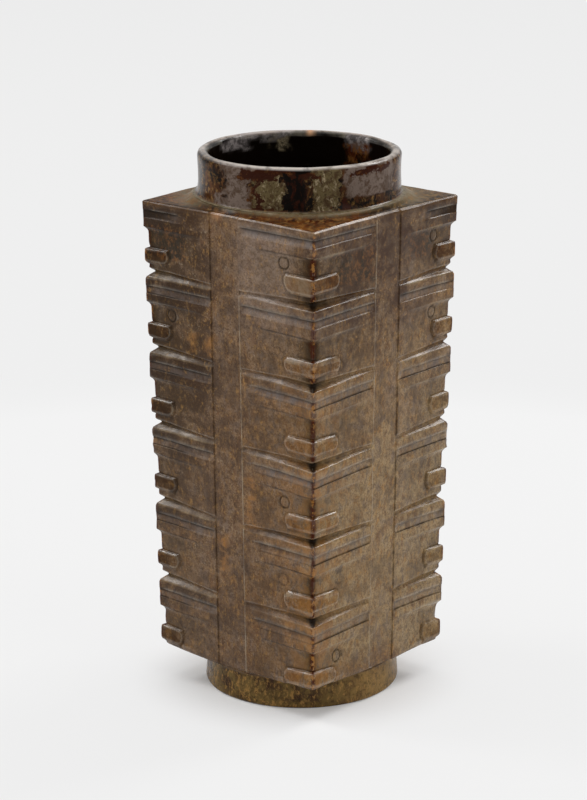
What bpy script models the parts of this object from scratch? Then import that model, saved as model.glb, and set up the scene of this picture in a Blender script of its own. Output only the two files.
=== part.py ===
"""Cong: a square jade tube with round ends, carved from one stone.

The square body tapers downwards and is cut into tiers, each a little taller than the one above. On each
corner a tier has two ribs, a recessed eye band, a nose bar and a ledge, and a wedge-shaped notch parts it
from the tier below. The cuts are deepest at the corners and die out at the plain strip down the middle of
each face. Both ends of the block are turned to a round collar and a round foot, and the bore is drilled
from both ends, so that the two drillings meet in a low step halfway down.

Units are metres, +Z is up, the origin is at the centre of the foot's base and the faces look along X and Y.
"""

import math

import bmesh
import bpy
from mathutils import Matrix, Vector

MM = 0.001

# Square body
TOP_SIDE = 73.0 * MM
BOTTOM_SIDE = 67.4 * MM
BODY_HEIGHT = 155.4 * MM
TOP_BEVEL = 1.2 * MM
STRIP_WIDTH = 12.3 * MM
STRIP_DEPTH = 0.4 * MM

# Tiers, and the heights of a tier's bands in order from its top edge down. The eye band lies between the
# second rib and the nose, and takes the height that the other bands leave.
TIERS = 6
TIER_GROWTH = 0.0145
RIB_HEIGHT = 2.95 * MM
CHANNEL_HEIGHT = 2.9 * MM
NOSE_HEIGHT = 4.9 * MM
LEDGE_HEIGHT = 2.6 * MM
NOTCH_HEIGHT = 3.4 * MM
LAST_LEDGE_HEIGHT = 1.8 * MM

# Cuts: their depths at the corner, square to each face, and the heights of their sloping walls
CHANNEL_DEPTH = 0.3 * MM
CHANNEL_WALL = 0.15 * MM
EYE_BAND_DEPTH = 1.1 * MM
EYE_BAND_WALL = 1.4 * MM
LEDGE_DEPTH = 0.85 * MM
LEDGE_WALL = 0.9 * MM
NOTCH_DEPTH = 2.5 * MM
NOTCH_ROOF = 0.35 * MM
NOTCH_FLOOR = 1.4 * MM

# The notch where it runs out at the strip
NOTCH_END_HEIGHT = 1.4 * MM
NOTCH_END_DEPTH = 0.3 * MM

# Nose bars, which fold round the corners
NOSE_REACH = 12.2 * MM
NOSE_TOP_RADIUS = 1.0 * MM
NOSE_BOTTOM_RADIUS = 2.6 * MM
NOSE_ROOT = 3.0 * MM

# Collar above the body
COLLAR_LEDGE = 3.3 * MM
COLLAR_HEIGHT = 14.35 * MM
COLLAR_FILLET = 1.4 * MM
SHOULDER_RISE = 1.6 * MM

# Foot below the body
FOOT_LEDGE = 0.8 * MM
FOOT_HEIGHT = 10.5 * MM
FOOT_WAIST = 0.5 * MM
FOOT_EDGE_RADIUS = 0.9 * MM
UNDERSIDE_RISE = 1.2 * MM

# Bore, drilled from both ends
COLLAR_WALL = 3.8 * MM
FOOT_WALL = 3.8 * MM
UPPER_DRILL_TAPER = 1.9 * MM
DRILL_STEP = 0.4 * MM

TURNED_SEGMENTS = 64
ARC_STEPS = 4
BEVEL_STEPS = 3
OVERRUN = 5.0 * MM
SMOOTH_ANGLE = math.radians(30.0)

STONE_COLOUR = (0.105, 0.062, 0.032, 1.0)
STONE_ROUGHNESS = 0.3

# Heights and radii that follow from the sizes above
BODY_BOTTOM = FOOT_HEIGHT + UNDERSIDE_RISE
BODY_TOP = BODY_BOTTOM + BODY_HEIGHT
SHOULDER_TOP = BODY_TOP + SHOULDER_RISE
TOTAL_HEIGHT = SHOULDER_TOP + COLLAR_HEIGHT
COLLAR_RADIUS = TOP_SIDE / 2 - COLLAR_LEDGE
FOOT_RADIUS = BOTTOM_SIDE / 2 - FOOT_LEDGE
MOUTH_RADIUS = COLLAR_RADIUS - COLLAR_WALL
FOOT_BORE_RADIUS = FOOT_RADIUS - FOOT_WALL


def clear_scene():
    for obj in list(bpy.data.objects):
        bpy.data.objects.remove(obj, do_unlink=True)


def half_side(z):
    """Half the width of the uncut square body at a height."""
    share = (z - BODY_BOTTOM) / BODY_HEIGHT
    return (BOTTOM_SIDE + (TOP_SIDE - BOTTOM_SIDE) * share) / 2


def tier_ends():
    """Top and bottom heights of the tiers, each with the notch below it."""
    shares = [1 + TIER_GROWTH * index for index in range(TIERS)]
    left_off = NOTCH_HEIGHT + LEDGE_HEIGHT - LAST_LEDGE_HEIGHT
    ends = []
    top = BODY_TOP
    for share in shares:
        bottom = top - (BODY_HEIGHT + left_off) * share / sum(shares)
        ends.append((top, bottom))
        top = bottom
    return ends


def nose_top(tier_bottom):
    return tier_bottom + NOTCH_HEIGHT + LEDGE_HEIGHT + NOSE_HEIGHT


def section(height, depth, end_height=None, end_depth=0.0, bevel=0.0):
    """Outline of the square body. The corners are cut back by depth, and the panels run from there to the
    strips, where they may end at another height and depth."""
    if end_height is None:
        end_height = height
    corner = half_side(height) - bevel - depth
    face = half_side(end_height) - bevel
    end = face - end_depth
    floor = face - STRIP_DEPTH
    strip = STRIP_WIDTH / 2
    side = [
        (corner, -corner, height),
        (end, -strip, end_height),
        (floor, -strip, end_height),
        (floor, strip, end_height),
        (end, strip, end_height),
    ]
    turns = [Matrix.Rotation(quarter * math.pi / 2, 3, "Z") for quarter in range(4)]
    return [turn @ Vector(point) for turn in turns for point in side]


def band_sections(top, bottom):
    """Outlines of one tier's ribs, channel, eye band and ledge, from its top edge down."""
    rib_end = top - RIB_HEIGHT
    second_rib = rib_end - CHANNEL_HEIGHT
    block_end = second_rib - RIB_HEIGHT
    nose_middle = nose_top(bottom) - NOSE_HEIGHT / 2
    return [
        section(top, 0.0),
        section(rib_end, 0.0),
        section(rib_end - CHANNEL_WALL, CHANNEL_DEPTH),
        section(second_rib + CHANNEL_WALL, CHANNEL_DEPTH),
        section(second_rib, 0.0),
        section(block_end, 0.0),
        section(block_end - EYE_BAND_WALL, EYE_BAND_DEPTH),
        section(nose_middle, EYE_BAND_DEPTH),
        section(nose_middle - LEDGE_WALL, LEDGE_DEPTH),
    ]


def notch_sections(bottom):
    """Outlines of the wedge that parts a tier from the next one, narrowing from corner to strip."""
    roof = bottom + NOTCH_HEIGHT
    floor_top = roof - NOTCH_ROOF
    floor_bottom = floor_top - NOTCH_FLOOR
    end_roof = bottom + NOTCH_END_HEIGHT
    end_floor = bottom + NOTCH_END_HEIGHT / 2
    return [
        section(roof, LEDGE_DEPTH, end_roof),
        section(floor_top, NOTCH_DEPTH, end_floor, NOTCH_END_DEPTH),
        section(floor_bottom, NOTCH_DEPTH, bottom + NOTCH_END_DEPTH, NOTCH_END_DEPTH),
    ]


def body_sections():
    """Outlines from above the collar down to below the foot."""
    sections = [
        section(TOTAL_HEIGHT + OVERRUN, 0.0, bevel=TOP_BEVEL),
        section(BODY_TOP + TOP_BEVEL, 0.0, bevel=TOP_BEVEL),
    ]
    tiers = tier_ends()
    for top, bottom in tiers:
        sections += band_sections(top, bottom)
        if (top, bottom) != tiers[-1]:
            sections += notch_sections(bottom)
    sections.append(section(-OVERRUN, LEDGE_DEPTH))
    return sections


def finish_mesh(bm, name):
    bmesh.ops.recalc_face_normals(bm, faces=bm.faces[:])
    mesh = bpy.data.meshes.new(name)
    bm.to_mesh(mesh)
    bm.free()
    return mesh


def add_object(name, mesh):
    obj = bpy.data.objects.new(name, mesh)
    bpy.context.scene.collection.objects.link(obj)
    return obj


def square_body_mesh():
    """Loft of the square outlines, closed at both ends."""
    bm = bmesh.new()
    rings = [[bm.verts.new(point) for point in outline] for outline in body_sections()]
    for upper, lower in zip(rings, rings[1:]):
        for index in range(len(upper)):
            after = (index + 1) % len(upper)
            bm.faces.new((upper[index], lower[index], lower[after], upper[after]))
    bm.faces.new(rings[0])
    bm.faces.new(reversed(rings[-1]))
    return finish_mesh(bm, "square_body")


def add_nose_bar(bm, top, quarter):
    """One bar folded round a corner, flush with the uncut faces, with rounded ends."""
    turn = Matrix.Rotation(quarter * math.pi / 2, 3, "Z")
    rings = []
    for z in (top, top - NOSE_HEIGHT):
        outer = half_side(z)
        inner = outer - NOSE_ROOT
        end = outer - NOSE_REACH
        plan = [(outer, end), (outer, outer), (end, outer), (end, inner), (inner, inner), (inner, end)]
        rings.append([bm.verts.new(turn @ Vector((x, y, z))) for x, y in plan])
    upper, lower = rings
    bm.faces.new(upper)
    bm.faces.new(reversed(lower))
    for index in range(len(upper)):
        after = (index + 1) % len(upper)
        bm.faces.new((upper[index], lower[index], lower[after], upper[after]))
    upper_ends = [bm.edges.get((upper[5], upper[0])), bm.edges.get((upper[2], upper[3]))]
    lower_ends = [bm.edges.get((lower[5], lower[0])), bm.edges.get((lower[2], lower[3]))]
    for edges, radius in ((upper_ends, NOSE_TOP_RADIUS), (lower_ends, NOSE_BOTTOM_RADIUS)):
        bmesh.ops.bevel(bm, geom=edges, offset=radius, segments=BEVEL_STEPS, profile=0.5, affect="EDGES")


def nose_bars_mesh():
    bm = bmesh.new()
    for _, tier_bottom in tier_ends():
        for quarter in range(4):
            add_nose_bar(bm, nose_top(tier_bottom), quarter)
    return finish_mesh(bm, "nose_bars")


def arc(centre, radius, start, end, steps=ARC_STEPS):
    """Points of a profile along an arc, with its angles in degrees from the outward direction."""
    points = []
    for index in range(steps + 1):
        angle = math.radians(start + (end - start) * index / steps)
        points.append((centre[0] + radius * math.cos(angle), centre[1] + radius * math.sin(angle)))
    return points


def turned_profile():
    """Closed profile of the turned ends and the bore, from the foot up the outside and down the bore."""
    reach = TOP_SIDE / math.sqrt(2) + OVERRUN
    waist = FOOT_RADIUS - FOOT_WAIST
    shoulder_edge = COLLAR_RADIUS + COLLAR_FILLET
    shoulder_slope = SHOULDER_RISE / (TOP_SIDE / math.sqrt(2) - shoulder_edge)
    underside_slope = UNDERSIDE_RISE / (BOTTOM_SIDE / math.sqrt(2) - waist)
    lip = COLLAR_WALL / 2
    lip_height = TOTAL_HEIGHT - lip
    drill_meet = TOTAL_HEIGHT / 2
    upper_waist = MOUTH_RADIUS - UPPER_DRILL_TAPER
    edge = FOOT_EDGE_RADIUS

    profile = arc((FOOT_RADIUS - edge, edge), edge, -90, 0)
    profile.append((waist, FOOT_HEIGHT))
    profile.append((reach, FOOT_HEIGHT + (reach - waist) * underside_slope))
    profile.append((reach, SHOULDER_TOP - (reach - shoulder_edge) * shoulder_slope))
    profile += arc((shoulder_edge, SHOULDER_TOP + COLLAR_FILLET), COLLAR_FILLET, 270, 180)
    profile += arc((COLLAR_RADIUS - lip, lip_height), lip, 0, 180, 2 * ARC_STEPS)
    profile.append((upper_waist, drill_meet))
    profile.append((upper_waist - DRILL_STEP, drill_meet))
    profile += arc((FOOT_BORE_RADIUS + edge, edge), edge, 180, 270)
    return profile


def turned_ends_mesh():
    """The profile spun once round the axis."""
    bm = bmesh.new()
    verts = [bm.verts.new((r, 0.0, z)) for r, z in turned_profile()]
    edges = [bm.edges.new((a, b)) for a, b in zip(verts, verts[1:] + verts[:1])]
    bmesh.ops.spin(bm, geom=verts + edges, cent=(0, 0, 0), axis=(0, 0, 1), angle=2 * math.pi,
                   steps=TURNED_SEGMENTS, use_merge=True)
    return finish_mesh(bm, "turned_ends")


def add_guide(name, mesh):
    guide = add_object(name, mesh)
    guide.hide_render = True
    guide.display_type = "WIRE"
    return guide


def add_boolean(obj, operation, guide):
    modifier = obj.modifiers.new(guide.name, "BOOLEAN")
    modifier.operation = operation
    modifier.solver = "EXACT"
    modifier.object = guide


def bake_modifiers(obj):
    """Keep the evaluated mesh, smooth apart from its carved edges."""
    depsgraph = bpy.context.evaluated_depsgraph_get()
    mesh = bpy.data.meshes.new_from_object(obj.evaluated_get(depsgraph))
    mesh.name = obj.name
    obj.modifiers.clear()
    obj.data = mesh
    mesh.shade_smooth()
    mesh.set_sharp_from_angle(angle=SMOOTH_ANGLE)


def stone_material():
    material = bpy.data.materials.new("stone")
    material.use_nodes = True
    shader = material.node_tree.nodes["Principled BSDF"]
    shader.inputs["Base Color"].default_value = STONE_COLOUR
    shader.inputs["Roughness"].default_value = STONE_ROUGHNESS
    shader.inputs["Metallic"].default_value = 0.0
    return material


def build_cong():
    cong = add_object("cong_tube", square_body_mesh())
    add_boolean(cong, "UNION", add_guide("nose_bars", nose_bars_mesh()))
    add_boolean(cong, "INTERSECT", add_guide("turned_ends", turned_ends_mesh()))
    bake_modifiers(cong)
    cong.data.materials.clear()
    cong.data.materials.append(stone_material())


def main():
    clear_scene()
    build_cong()


main()
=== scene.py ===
"""Looks of the cong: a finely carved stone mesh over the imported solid, its material, a stage and a camera.

Sizes are in millimetres unless a name says otherwise, and the mesh is scaled to metres when it is made.
The carved surface is one closed grid. Its columns run round the tube, and its rows run up the outside,
over the collar's lip, down the bore and back under the foot.
"""
import math
from functools import partial
from itertools import product
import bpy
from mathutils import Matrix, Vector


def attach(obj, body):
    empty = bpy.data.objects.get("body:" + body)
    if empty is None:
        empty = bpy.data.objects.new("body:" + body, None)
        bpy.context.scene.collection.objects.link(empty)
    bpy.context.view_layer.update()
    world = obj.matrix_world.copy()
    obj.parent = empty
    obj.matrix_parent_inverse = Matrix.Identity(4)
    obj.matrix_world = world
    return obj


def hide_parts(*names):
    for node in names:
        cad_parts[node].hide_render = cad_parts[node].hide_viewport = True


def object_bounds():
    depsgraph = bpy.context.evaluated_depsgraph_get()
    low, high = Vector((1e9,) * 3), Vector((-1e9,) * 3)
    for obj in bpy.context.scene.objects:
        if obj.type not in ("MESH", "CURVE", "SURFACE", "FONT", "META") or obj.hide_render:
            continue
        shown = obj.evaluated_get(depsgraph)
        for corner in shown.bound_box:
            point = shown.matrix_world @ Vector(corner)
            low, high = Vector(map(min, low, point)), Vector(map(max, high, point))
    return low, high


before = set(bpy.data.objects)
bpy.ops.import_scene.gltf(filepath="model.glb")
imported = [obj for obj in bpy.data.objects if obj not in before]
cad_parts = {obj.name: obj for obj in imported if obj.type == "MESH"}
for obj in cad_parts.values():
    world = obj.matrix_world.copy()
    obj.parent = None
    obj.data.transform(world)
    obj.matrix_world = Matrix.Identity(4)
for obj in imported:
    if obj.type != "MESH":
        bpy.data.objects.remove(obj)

from types import SimpleNamespace

import bpy
import numpy as np
from mathutils import Vector

MM = 0.001
CAD_LOW, CAD_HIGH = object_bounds()
RNG = np.random.default_rng(4112)

# View of the photograph, in degrees, metres and millimetres of lens
VIEW_AZIMUTH = 40.49
VIEW_ELEVATION = 16.11
VIEW_DISTANCE = 0.981
VIEW_TARGET = (-0.00173, -0.00148, 0.0977)
VIEW_LENS = 131.5

# Square body
LIP_GAIN = 0.5
HEIGHT = CAD_HIGH.z / MM + LIP_GAIN
TOP_SIDE = (CAD_HIGH.x - CAD_LOW.x) / MM
BOTTOM_SIDE = 68.1
BODY_TOP = 167.1
BODY_BOTTOM = 11.7
BOTTOM_SAG = 0.5
CORNER_ROUND = 0.6
SIDE_GAIN = 1.0
BOTTOM_SHIFT = (0.28, 0.24)

# Corners, faces and panels that the camera sees; there are two panels to a face
NEAR, RIGHT, LEFT = 0, 1, 3
RIGHT_FACE, LEFT_FACE = 0, 3
NEAR_RIGHT, FAR_RIGHT, FAR_LEFT, NEAR_LEFT = 0, 1, 6, 7

# Tiers and the heights of their bands, counted down from a tier's top edge
TIERS = 6
TIER_GROWTH = 0.0145
PITCH = 26.35
RIB_END = 2.95
SECOND_RIB = 5.85
BLOCK_END = 8.8
EYE_HEIGHT = 12.2
NOSE_TOP = 15.3
NOSE_BOTTOM = 20.4
NOTCH_ROOF = 23.4
LAST_TIER_END = 22.1

# Random unevenness of the cuts, from least to most
TIER_SHIFT = (-0.3, 0.3)
DEPTH_SHARE = (0.88, 1.12)
CHANNEL_SHARE = (0.65, 1.0)
REACH_SHARE = (0.95, 1.05)
EYE_SHARE = (0.05, 0.4)

# How far the hand-cut tier edges stray at each corner, in the order near, right, back, left
TIER_STRAY = (
    (0.0, -0.3, -1.1, -1.5, -0.3, -0.8, 0.5),
    (0.0, -0.2, 0.4, 0.5, -0.6, -0.7, -0.4),
    (0.0, 0.2, 0.3, -0.2, -0.5, 0.1, 0.2),
    (0.0, 0.1, 0.4, 0.7, 0.8, 0.9, 0.6),
)

# Cuts, with values by corner, by face or, in lists of eight, by panel
CHANNEL_DEPTH = (0.62, 0.5, 0.5, 0.5, 0.5, 0.5, 0.5, 0.85)
EYE_BAND_DEPTH = 0.95
LEDGE_DEPTH = 0.75
LAST_LEDGE_DEPTH = 0.3
NOTCH_DEPTH = (2.5, 2.0, 2.3, 2.5)
# Share of painted shade in the notches, by corner
NOTCH_SHADE = (0.8, 0.35, 0.7, 0.7)
NOTCH_END_DEPTH = 0.7
NOTCH_END_HEIGHT = 1.9
NOTCH_SLOPE_SHARE = (0.4, 0.5, 0.5, 0.58)
LIP_ROUND = (0.3, 0.55, 0.5, 0.45)
CORNER_CHANNEL = (0.7, 0.15, 0.15, 0.15)
COVE_HEIGHT = 2.0
COVE_POWER = 2.2
ROOF_ROUND = 0.9
SOFT_LIP_SHARE = 0.6
LAST_HEM = 0.6
LEDGE_SLOPE = (0.95, 1.0, 1.5, 1.0, 1.2, 1.5, 0.7, 0.4)
BEVEL_WIDTH = (0.85, 0.5, 0.5, 0.45)
BEVEL_SLOPE = (0.92, 1.0, 1.0, 1.13)
BEVEL_ROWS = 6
BEVEL_CLEAR = 1.7

# Where the channel runs out, as shares of the way from the strip to the corner
FULL_RUN = (0.0, 0.05)
EARLY_RUN = (0.05, 0.3)
SHORT_RUN = (0.38, 0.54)

# Strip down the middle of each face, which is cut off-centre on the faces that meet at the near corner
STRIP_HALF = 6.15
STRIP_DEPTH = 0.3
STRIP_LINE_DEPTH = 0.13
STRIP_LINE_WIDTH = 0.22
STRIP_RIDGE = 0.08
STRIP_SHIFT_TOP = (0.6, 0.5, -0.4, -1.1)
STRIP_SHIFT_BOTTOM = (1.2, 0.3, 0.4, -1.4)

# Noses and eyes, with reach, drop and gain by corner, and radii by face
NOSE_REACH = (12.0, 11.4, 10.5, 10.6)
NOSE_EXTRA = 1.2
NOSE_TIER_EXTRA = 0.25
NOSE_TOP_RADIUS = (2.1, 1.6, 1.5, 1.3)
NOSE_BOTTOM_RADIUS = (2.8, 3.0, 3.0, 3.9)
ROUND_NOSE_RADIUS = 1.9
NOSE_PILLOW = 0.2
NOSE_GROOVE = 0.16
NOSE_DROP = (0.4, 0.4, 0.3, 0.9)
LAST_DROP_SHARE = 0.4
LOW_NOSE_DROP = 0.9
LOW_EYE_DROP = 1.0
NOSE_DROOP = 0.045
NOSE_GAIN = (0.0, 0.6, 0.4, 0.0)
TALL_NOSE_GAIN = 0.8
TALL_NOSE_TIERS = (0, 4)
EYE_INSET = 0.3
EYE_RADIUS = 2.0
EYE_LINE_WIDTH = 0.28
EYE_LINE_DEPTH = 0.24

# Eyes that are still clear, as panel and tier
CLEAR_EYES = (
    (NEAR_LEFT, 0), (NEAR_LEFT, 3), (NEAR_RIGHT, 5), (FAR_RIGHT, 0), (FAR_RIGHT, 1), (FAR_LEFT, 1),
)

# Round ends
COLLAR_RADIUS = 33.6
COLLAR_FILLET = 1.2
COLLAR_WALL = 3.8
COLLAR_WAIST = 0.2
COLLAR_SHIFT = (-0.4, -0.35)
SHOULDER_RISE = 0.3
SHOULDER_RING_RISE = 1.8
FLARE_SHARE = 0.35
FLARE_WIDTH = (0.9, 4.0)
FOOT_RADIUS = 32.9
FOOT_WAIST = 0.6
FOOT_TOP = 10.5
FOOT_EDGE = 1.0
FOOT_FILLET = 0.8
FOOT_WALL = 3.8
FOOT_SHIFT = (0.7, -0.25)
DRILL_TAPER = 1.9
DRILL_STEP = 0.4
DRILL_STEP_HALF = 0.6


# Noise

def lattice(ix, iy, iz, seed):
    """A repeatable value from -1 to 1 for each point of a whole-number lattice."""
    h = ix * 374761393 + iy * 668265263 + iz * 2147483629 + seed * 1274126177
    h = (h ^ (h >> 13)) * 1103515245
    h = (h ^ (h >> 16)) & 0x7FFFFFFF
    return h / 0x3FFFFFFF - 1.0


def noise(points, size, seed):
    """Smooth value noise with features of about the given size."""
    p = np.asarray(points) / size
    cell = np.floor(p).astype(np.int64)
    t = p - cell
    t = t * t * t * (t * (t * 6 - 15) + 10)
    total = np.zeros(p.shape[:-1])
    for offset in product((0, 1), repeat=3):
        corner = lattice(*np.moveaxis(cell + offset, -1, 0), seed)
        total += corner * np.where(offset, t, 1 - t).prod(axis=-1)
    return total


def ramp(x, start, end):
    """0 up to start, 1 from end on and an even S between them, also where end is the lower one."""
    t = np.clip((x - start) / (end - start), 0, 1)
    return t * t * (3 - 2 * t)


def mix(a, b, t):
    return a + (b - a) * t


def pick(values, index):
    return np.array(values)[index]


# Grid lines

def stretches(*parts):
    """Values along a line, from (end, steps) pairs that each start where the last one ended."""
    values = [0.0]
    for end, steps in parts:
        values += list(np.linspace(values[-1], end, steps + 1)[1:])
    return np.array(values)


PANEL_WIDTH = 30.2
STRIP_LINES = stretches((0.7, 3), (2 * STRIP_HALF - 0.7, 4), (2 * STRIP_HALF, 3)) / STRIP_HALF - 1


def panel_lines(reach):
    """Distances from the corner to the strip, close together at the corner, the nose's end and the strip."""
    return stretches(
        (CORNER_ROUND, 3), (reach - 3.2, 6), (reach + 2.4, 17), (PANEL_WIDTH - 0.9, 8), (PANEL_WIDTH, 3)
    )


def column_table():
    """For each column: its face, its corner, its distance from that corner and its place on the strip."""
    face, corner, s, strip, side = [], [], [], [], []
    for q in range(4):
        start, end = q, (q + 1) % 4
        first = panel_lines(NOSE_REACH[start])
        second = panel_lines(NOSE_REACH[end])[::-1][:-1]
        inner = STRIP_LINES[1:-1]
        for lines, at, which in ((first, start, -1), (inner, start, 0), (second, end, 1)):
            face += [q] * len(lines)
            corner += [at] * len(lines)
            side += [which] * len(lines)
            s += list(lines if which else np.full(len(lines), PANEL_WIDTH))
            strip += list(lines if which == 0 else np.full(len(lines), float(which)))
    return [np.array(column) for column in (face, corner, s, strip, side)]


FACE, CORNER, S, STRIP, SIDE = column_table()
PANEL = 2 * FACE + (SIDE > 0)
FADE = np.clip((PANEL_WIDTH - S) / (PANEL_WIDTH - CORNER_ROUND), 0, 1)


def band_lines(last):
    """Heights of one tier's rows, close together at the edges of its bands."""
    parts = (
        (0.8, 4), (RIB_END, 2), (RIB_END + 0.24, 3), (SECOND_RIB - 0.9, 2),
        (SECOND_RIB - 0.3, 2), (SECOND_RIB, 3), (SECOND_RIB + 0.25, 1),
        (BLOCK_END - 0.3, 2), (BLOCK_END + 0.5, 5), (BLOCK_END + 2.2, 3),
        (EYE_HEIGHT + EYE_RADIUS + 0.3, 8), (NOSE_TOP - 0.2, 1), (NOSE_TOP + 1.6, 7),
        (NOSE_BOTTOM - 2.4, 1), (NOSE_BOTTOM + 0.5, 6), (LAST_TIER_END, 2),
    )
    if not last:
        parts += ((NOTCH_ROOF - 0.3, 1), (NOTCH_ROOF + 0.9, 4), (PITCH - 0.6, 4), (PITCH, 3))
    return stretches(*parts)


def tier_heights():
    """Top heights of the tiers, and the height that the last one would end at with its notch."""
    shares = 1 + TIER_GROWTH * np.arange(TIERS)
    whole = BODY_TOP - BODY_BOTTOM + (PITCH - LAST_TIER_END) * shares[-1]
    return BODY_TOP - np.concatenate([[0], np.cumsum(shares)]) * whole / shares.sum()


def half_side(z):
    share = (z - BODY_BOTTOM) / (BODY_TOP - BODY_BOTTOM)
    return mix(BOTTOM_SIDE, TOP_SIDE + SIDE_GAIN, share) / 2


def body_rows():
    """Tier number and band height of each row of the body, from its top edge down."""
    tier, band = [], []
    for index in range(TIERS):
        last = index == TIERS - 1
        lines = band_lines(last)
        if not last:
            lines = lines[:-1]
        tier += [index] * len(lines)
        band += list(lines)
    return np.array(tier), np.array(band)


# Carving

def row_heights(tier, band):
    """Heights of the body's rows, which waver a little as hand-cut bands do."""
    tops = tier_heights()
    angle = np.arange(len(S)) / len(S) * 2 * math.pi
    ring = np.stack([9 * np.cos(angle), 9 * np.sin(angle), np.zeros_like(angle)], axis=-1)
    stray = np.array(TIER_STRAY)
    lines = []
    for index in range(TIERS + 1):
        waver = 0.22 * noise(ring + (0, 0, 7.0 * index), 3.0, 11) if index else 0.0
        sag = BOTTOM_SAG * (1 - FADE) if index == TIERS else 0.0
        lines.append(tops[index] + waver - sag + stray[CORNER, index] * FADE ** 1.5)
    lines = np.array(lines)
    share = (band / PITCH)[:, None]
    return mix(lines[tier], lines[tier + 1], share)


def nose_distance(x, v, reach, gain, top_radius):
    """Signed distance to the outline of a nose, whose end is rounder below than above."""
    middle = (NOSE_TOP + NOSE_BOTTOM) / 2 - 0.6
    above = v < middle
    radius = np.where(above, top_radius, pick(NOSE_BOTTOM_RADIUS, FACE))
    tall = np.where(above, middle - NOSE_TOP, NOSE_BOTTOM + gain - middle)
    radius = np.minimum(radius, tall - 0.05)
    qx = x - reach + radius
    qy = np.abs(v - middle) - tall + radius
    outside = np.hypot(np.maximum(qx, 0), np.maximum(qy, 0))
    return np.minimum(np.maximum(qx, qy), 0) + outside - radius


def per_cut(tier, low, high):
    """One random value for each tier and corner, spread over the grid."""
    return RNG.uniform(low, high, (TIERS, 4))[tier][:, CORNER]


def per_panel(tier, low, high):
    """One random value for each tier and panel, spread over the grid."""
    return RNG.uniform(low, high, (TIERS, 8))[tier][:, PANEL]


def eye_strength(tier):
    """How much of each eye is left: most are worn faint."""
    table = RNG.uniform(*EYE_SHARE, (TIERS, 8))
    for panel, at in CLEAR_EYES:
        table[at, panel] = 1.0
    return table[tier][:, PANEL] * (SIDE != 0)


def from_corner(length):
    """1 at the corners of the body, fading out along the faces over a length."""
    return np.exp(-S / length)


def line_at(v, height, width):
    """A soft line at one height."""
    return np.exp(-((v - height) / width) ** 2)


def cut_channels(c):
    """The channel between the two ribs, which runs out early on some panels."""
    share = mix(pick(CORNER_CHANNEL, CORNER), 1.0, ramp(S, 0.5, 5.0))
    depth = pick(CHANNEL_DEPTH, PANEL) * share * c.worn
    ledge = depth / pick(LEDGE_SLOPE, PANEL)
    c.inside = ramp(c.v, RIB_END, RIB_END + 0.22) * np.clip((SECOND_RIB - c.v) / ledge, 0, 1)
    c.short = c.first & np.isin(PANEL, (FAR_RIGHT, FAR_LEFT))
    early = c.lower & (PANEL == NEAR_LEFT)
    ends = [ramp(FADE, *SHORT_RUN), ramp(FADE, *EARLY_RUN)]
    c.run = np.select([c.short, early], ends, ramp(FADE, *FULL_RUN))
    c.channel = depth * c.inside * c.run


def cut_eye_bands(c):
    """The recess below the ribs, with a cove at its top, which runs out towards the strip."""
    below = np.clip((c.v + c.shift - BLOCK_END) / COVE_HEIGHT, 0, 1)
    c.wall = 1 - (1 - below) ** COVE_POWER
    ledge = np.where(c.last, LAST_LEDGE_DEPTH, LEDGE_DEPTH)
    low = mix(EYE_BAND_DEPTH, ledge, ramp(c.v, NOSE_BOTTOM - 1.5, NOSE_BOTTOM + 0.3))
    c.recess = c.deep * low * FADE * c.wall + 0.2 * c.wall * ramp(FADE, 0.03, 0.35)


def raise_noses(c):
    """The noses, each a rounded bar with a fine groove round it."""
    tall = (PANEL == NEAR_LEFT) & np.isin(c.tier, TALL_NOSE_TIERS)
    gain = np.where(tall, TALL_NOSE_GAIN, pick(NOSE_GAIN, CORNER))
    drop = np.where(c.lower_near, LOW_NOSE_DROP + NOSE_DROOP * c.s, pick(NOSE_DROP, CORNER))
    drop = drop * np.where(c.last & ~c.lower_near, LAST_DROP_SHARE, 1.0)
    rounder = (CORNER == NEAR) & c.lower
    radius = np.where(rounder, ROUND_NOSE_RADIUS, pick(NOSE_TOP_RADIUS, FACE))
    distance = nose_distance(c.s, c.v + c.shift - drop, c.reach, gain, radius)
    c.nose = ramp(distance, 0.3, -0.2)
    c.outline = line_at(distance, 0.4, 0.28)
    pillow = NOSE_PILLOW * ramp(distance, -1.6, 0.2) ** 2
    grooved = c.recess + NOSE_GROOVE * c.outline * c.wall
    c.recess = mix(grooved, np.minimum(grooved, pillow), c.nose)


def cut_eyes(c):
    """The engraved ring above the end of each nose."""
    x = c.s - c.reach + EYE_INSET
    y = c.v + 0.5 * c.shift - EYE_HEIGHT - LOW_EYE_DROP * c.lower_near
    c.eye = c.eye_left * line_at(np.hypot(x, y), EYE_RADIUS, EYE_LINE_WIDTH)
    c.recess = c.recess + EYE_LINE_DEPTH * c.eye


def cut_notches(c):
    """The notch below each tier: a roof, a slope out to the next tier and a worn lip there."""
    tall = mix(NOTCH_END_HEIGHT, PITCH - NOTCH_ROOF, FADE)
    roof = PITCH - tall
    depth = c.deep * mix(NOTCH_END_DEPTH, pick(NOTCH_DEPTH, CORNER), FADE)
    share = pick(NOTCH_SLOPE_SHARE, FACE)
    flat = (1 - share) * tall
    soft = (FACE == LEFT_FACE) | (PANEL == FAR_RIGHT)
    roof_end = roof + np.where(soft, np.maximum(flat, ROOF_ROUND), ROOF_ROUND)
    c.cut = ramp(c.v, roof - 0.3, roof_end) * ~c.last
    c.slope = 1 - np.clip((c.v - roof - flat) / (share * tall), 0, 1)
    lip = pick(LIP_ROUND, CORNER) * mix(0.3, 1.0, FADE) * np.where(soft, SOFT_LIP_SHARE, 1.0)
    top = lip * ramp(c.v, 1.0, 0) * ~c.first
    hem = LAST_HEM * FADE * ramp(c.v, LAST_TIER_END - 1.6, LAST_TIER_END + 0.2) * c.last
    plain = c.channel + c.recess + top + hem
    c.kept = 1 - c.cut
    c.depth = mix(plain, depth * c.slope + lip * (1 - c.slope), c.cut)


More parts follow.
